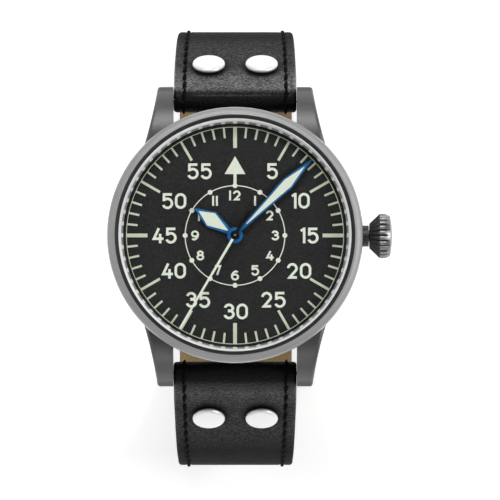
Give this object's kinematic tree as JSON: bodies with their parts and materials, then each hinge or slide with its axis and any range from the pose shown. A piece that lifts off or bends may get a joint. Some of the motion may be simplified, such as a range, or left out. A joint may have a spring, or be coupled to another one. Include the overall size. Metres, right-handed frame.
{
  "type": "wristwatch",
  "caption": "Round steel pilot watch with a black luminous dial, blued hands, fluted crown and a riveted black leather strap buckled in a loop.",
  "frame": {"origin": "centre of the case back's outer face, on the hand axis", "axes": "+Z out of the dial, +Y to 12 o'clock, +X to 3 o'clock and the crown"},
  "size_m": [0.0469, 0.0739, 0.0646],
  "materials": {
    "blasted_steel": "bead blasted, fine grain",
    "polished_steel": "polished",
    "brushed_steel": "brushed",
    "movement_plate": "rhodium plated, grained",
    "brass_wheels": "gilt",
    "crystal": "polished sapphire",
    "white_gasket": "translucent white nylon",
    "black_gasket": "moulded",
    "dial_black": "matt black, fine grain",
    "lume_paint": "pale green luminous paint",
    "blued_steel": "blued steel, satin",
    "black_leather": "grained calf",
    "tan_lining": "smooth lining",
    "black_thread": "waxed thread"
  },
  "bodies": {
    "watch": {"balance_bridge": "movement_plate", "bezel": "blasted_steel", "bridge_screws": "brushed_steel", "buckle_bar": "polished_steel", "case_back": "brushed_steel", "case_back_gasket": "black_gasket", "case_clamps": "brushed_steel", "clamp_screws": "brushed_steel", "crown_tube": "polished_steel", "crystal": "crystal", "crystal_gasket": "white_gasket", "dial": "dial_black", "dial_markings": "lume_paint", "fixed_keeper": "black_leather", "flange_ring": "polished_steel", "lower_rivets": "polished_steel", "lower_stitching": "black_thread", "lower_strap": "black_leather", "lower_strap_lining": "tan_lining", "main_plate": "movement_plate", "mid_case": "blasted_steel", "movement_ring": "brushed_steel", "rotor_bearing": "brushed_steel", "spring_bar_12": "polished_steel", "spring_bar_6": "polished_steel", "train_bridge": "movement_plate", "upper_rivets": "polished_steel", "upper_stitching": "black_thread", "upper_strap": "black_leather", "upper_strap_lining": "tan_lining"},
    "seconds": {"seconds_pinion": "brushed_steel", "seconds_hand": "blued_steel"},
    "minutes": {"cannon_pinion": "brushed_steel", "minute_hand": "blued_steel", "minute_hand_lume": "lume_paint"},
    "hours": {"hour_wheel": "brass_wheels", "hour_hand": "blued_steel", "hour_hand_lume": "lume_paint"},
    "motion_wheel": {"minute_wheel": "brass_wheels"},
    "escapement": {"escape_wheel": "brushed_steel"},
    "barrel": {"mainspring_barrel": "brass_wheels", "ratchet_wheel": "brushed_steel"},
    "fork": {"pallet_fork": "brushed_steel"},
    "balance": {"balance_wheel": "brass_wheels"},
    "winding_rotor": {"rotor": "movement_plate"},
    "clutch": {"clutch_pinion": "brushed_steel"},
    "crown_and_stem": {"crown": "polished_steel", "crown_gasket": "black_gasket", "winding_stem": "brushed_steel"},
    "tip_12_left": {"bar_tip_12_left": "polished_steel"},
    "tip_12_right": {"bar_tip_12_right": "polished_steel"},
    "tip_6_left": {"bar_tip_6_left": "polished_steel"},
    "tip_6_right": {"bar_tip_6_right": "polished_steel"},
    "buckle": {"buckle_frame": "brushed_steel"},
    "tongue": {"buckle_tongue": "brushed_steel"},
    "sliding_keeper": {"free_keeper": "black_leather"}
  },
  "joints": [
    {"name": "seconds_turn", "type": "hinge", "parent": "watch", "child": "seconds", "pos_m": [0, 0, 0.0087], "axis": [0, 0, 1], "continuous": true},
    {"name": "minutes_turn", "type": "hinge", "parent": "watch", "child": "minutes", "pos_m": [0, 0, 0.00825], "axis": [0, 0, 1], "continuous": true},
    {"name": "hours_turn", "type": "hinge", "parent": "watch", "child": "hours", "pos_m": [0, 0, 0.0078], "axis": [0, 0, 1], "continuous": true},
    {"name": "motion_wheel_turn", "type": "hinge", "parent": "watch", "child": "motion_wheel", "pos_m": [0, 0.0026, 0.0059], "axis": [0, 0, 1], "continuous": true},
    {"name": "escape_wheel_turn", "type": "hinge", "parent": "watch", "child": "escapement", "pos_m": [0.0017, -0.0065, 0.0049], "axis": [0, 0, 1], "continuous": true},
    {"name": "barrel_turn", "type": "hinge", "parent": "watch", "child": "barrel", "pos_m": [-0.0054, 0.0056, 0.0044], "axis": [0, 0, 1], "continuous": true},
    {"name": "fork_rock", "type": "hinge", "parent": "watch", "child": "fork", "pos_m": [-0.0007, -0.007, 0.0049], "axis": [0, 0, 1], "range_deg": [-5, 5]},
    {"name": "balance_swing", "type": "hinge", "parent": "watch", "child": "balance", "pos_m": [-0.0052, -0.0064, 0.004], "axis": [0, 0, 1], "range_deg": [-135, 135]},
    {"name": "rotor_turn", "type": "hinge", "parent": "watch", "child": "winding_rotor", "pos_m": [0, 0, 0.002], "axis": [0, 0, 1], "continuous": true},
    {"name": "crown_turn", "type": "hinge", "parent": "watch", "child": "clutch", "pos_m": [0.0096, 0, 0.0049], "axis": [1, 0, 0], "continuous": true},
    {"name": "crown_pull", "type": "slide", "parent": "clutch", "child": "crown_and_stem", "axis": [1, 0, 0], "range_m": [0, 0.0012]},
    {"name": "tip_12_right_press", "type": "slide", "parent": "watch", "child": "tip_12_right", "axis": [-1, 0, 0], "range_m": [0, 0.001], "stiffness_N_per_m": 1500},
    {"name": "tip_12_left_press", "type": "slide", "parent": "watch", "child": "tip_12_left", "axis": [1, 0, 0], "range_m": [0, 0.001], "stiffness_N_per_m": 1500},
    {"name": "tip_6_right_press", "type": "slide", "parent": "watch", "child": "tip_6_right", "axis": [-1, 0, 0], "range_m": [0, 0.001], "stiffness_N_per_m": 1500},
    {"name": "tip_6_left_press", "type": "slide", "parent": "watch", "child": "tip_6_left", "axis": [1, 0, 0], "range_m": [0, 0.001], "stiffness_N_per_m": 1500},
    {"name": "buckle_swing", "type": "hinge", "parent": "watch", "child": "buckle", "pos_m": [0, 0, -0.04726], "axis": [1, 0, 0], "range_deg": [0, 10]},
    {"name": "tongue_swing", "type": "hinge", "parent": "buckle", "child": "tongue", "pos_m": [0, 0, -0.04726], "axis": [1, 0, 0], "range_deg": [0, 20]},
    {"name": "keeper_slide", "type": "slide", "parent": "watch", "child": "sliding_keeper", "axis": [0, -1, 0], "range_m": [0, 0.004]}
  ],
  "couplings": [
    {"joint": "minutes_turn", "follows": "seconds_turn", "ratio": 0.016667},
    {"joint": "hours_turn", "follows": "seconds_turn", "ratio": 0.0013889},
    {"joint": "motion_wheel_turn", "follows": "seconds_turn", "ratio": -0.0055556},
    {"joint": "escape_wheel_turn", "follows": "seconds_turn", "ratio": -12},
    {"joint": "barrel_turn", "follows": "seconds_turn", "ratio": -0.002381}
  ]
}
